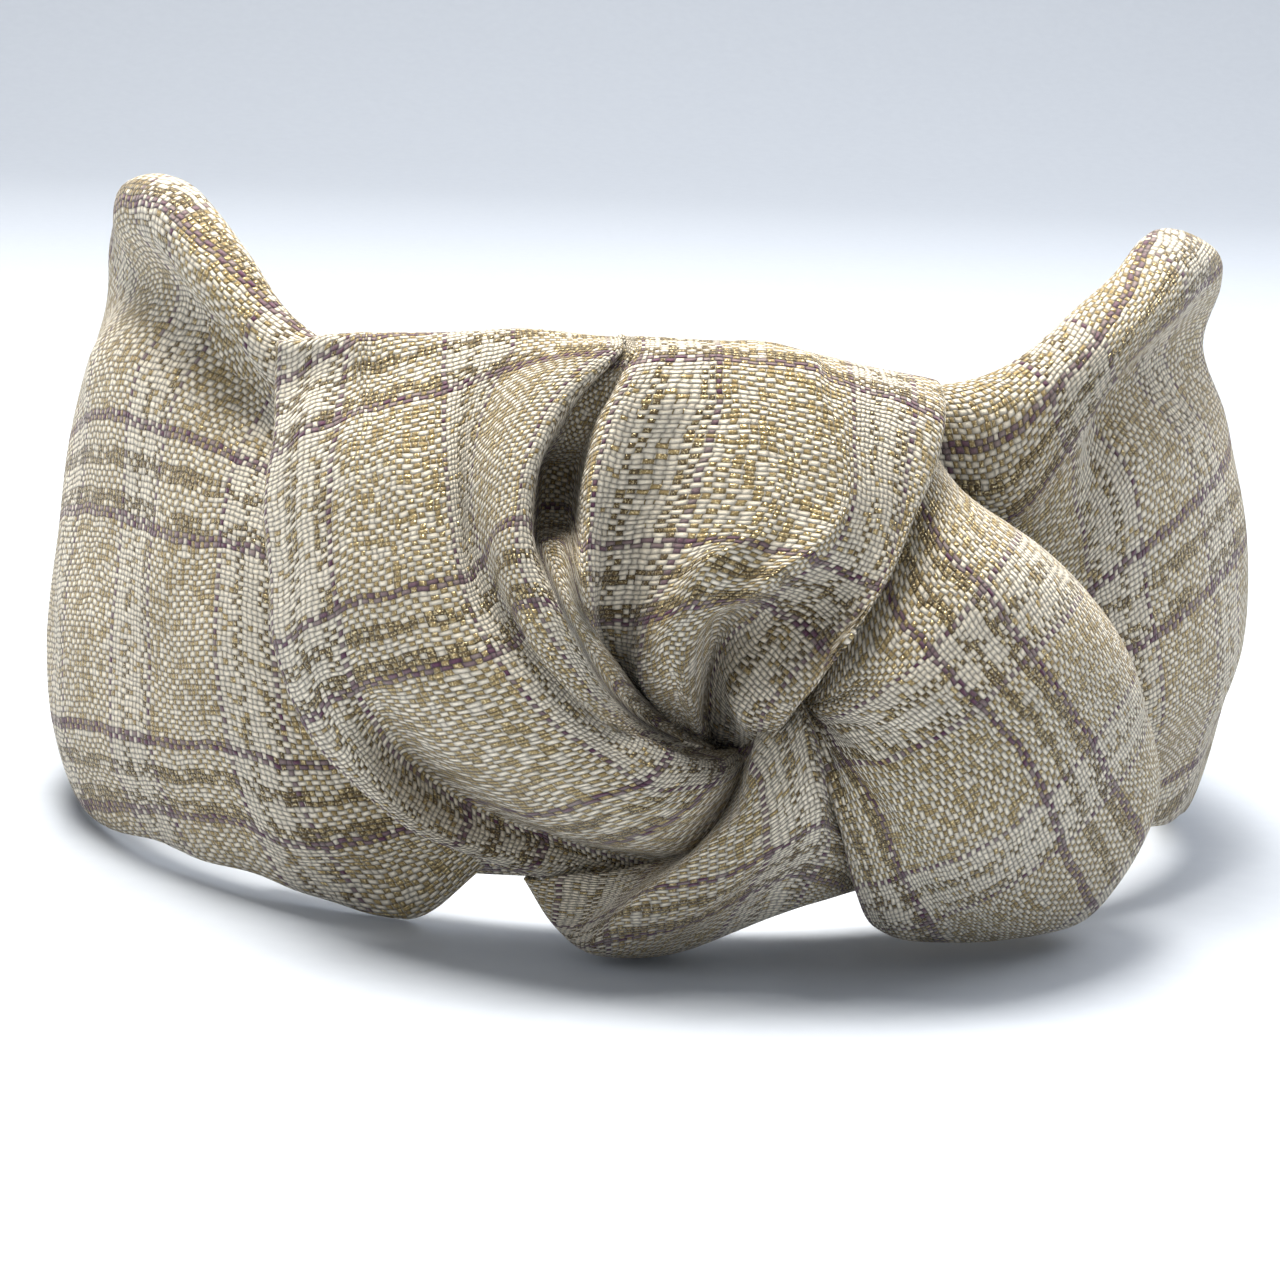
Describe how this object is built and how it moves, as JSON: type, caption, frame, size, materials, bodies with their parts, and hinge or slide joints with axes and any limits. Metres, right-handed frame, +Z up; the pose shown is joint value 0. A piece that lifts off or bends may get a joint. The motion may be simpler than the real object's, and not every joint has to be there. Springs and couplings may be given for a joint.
{
  "type": "knotted headband",
  "caption": "Wide padded headband of checked cloth over a sprung plastic band, with a twisted knot at the crown and arms that taper to capped tips.",
  "frame": {"origin": "under the middle of the bounding box, on the surface that the lower edge stands on", "axes": "+Z up from the lower edge to the peaks of the arms, +X towards the wearer-side right arm seen from the knot, -Y out through the knot, +Y towards the open ends of the arms"},
  "size_m": [0.15, 0.1542, 0.078],
  "materials": {
    "band_plastic": "satin moulded acetal, seen only where the cloth parts",
    "tweed": "coarse plain weave of off-white and gold metallic yarn with a plum and white check",
    "wadding": "soft polyester wadding",
    "ribbon": "ribbed grosgrain",
    "thread": "matte sewing thread"
  },
  "bodies": {
    "crown": {"core_crown": "band_plastic", "knot_left_wrap": "tweed", "knot_top_wrap": "tweed", "knot_inner_roll": "tweed", "knot_right_lobe": "tweed", "knot_tail": "tweed", "knot_left_tuck": "tweed", "knot_right_tuck": "tweed", "knot_back_band": "tweed", "knot_seam_stitches": "thread"},
    "left_arm": {"core_left_arm": "band_plastic", "left_padding": "wadding", "left_cover": "tweed", "left_lining": "ribbon", "left_lining_stitches": "thread", "left_tip_cap": "ribbon"},
    "right_arm": {"core_right_arm": "band_plastic", "right_padding": "wadding", "right_cover": "tweed", "right_lining": "ribbon", "right_lining_stitches": "thread", "right_tip_cap": "ribbon"}
  },
  "joints": [
    {"name": "left_arm_flex", "type": "hinge", "parent": "crown", "child": "left_arm", "pos_m": [-0.04808, -0.03218, 0.038], "axis": [0, 0, 1], "range_deg": [-4, 9], "stiffness_Nm_per_rad": 1},
    {"name": "right_arm_flex", "type": "hinge", "parent": "crown", "child": "right_arm", "pos_m": [0.04808, -0.03218, 0.038], "axis": [0, 0, -1], "range_deg": [-4, 9], "stiffness_Nm_per_rad": 1}
  ]
}
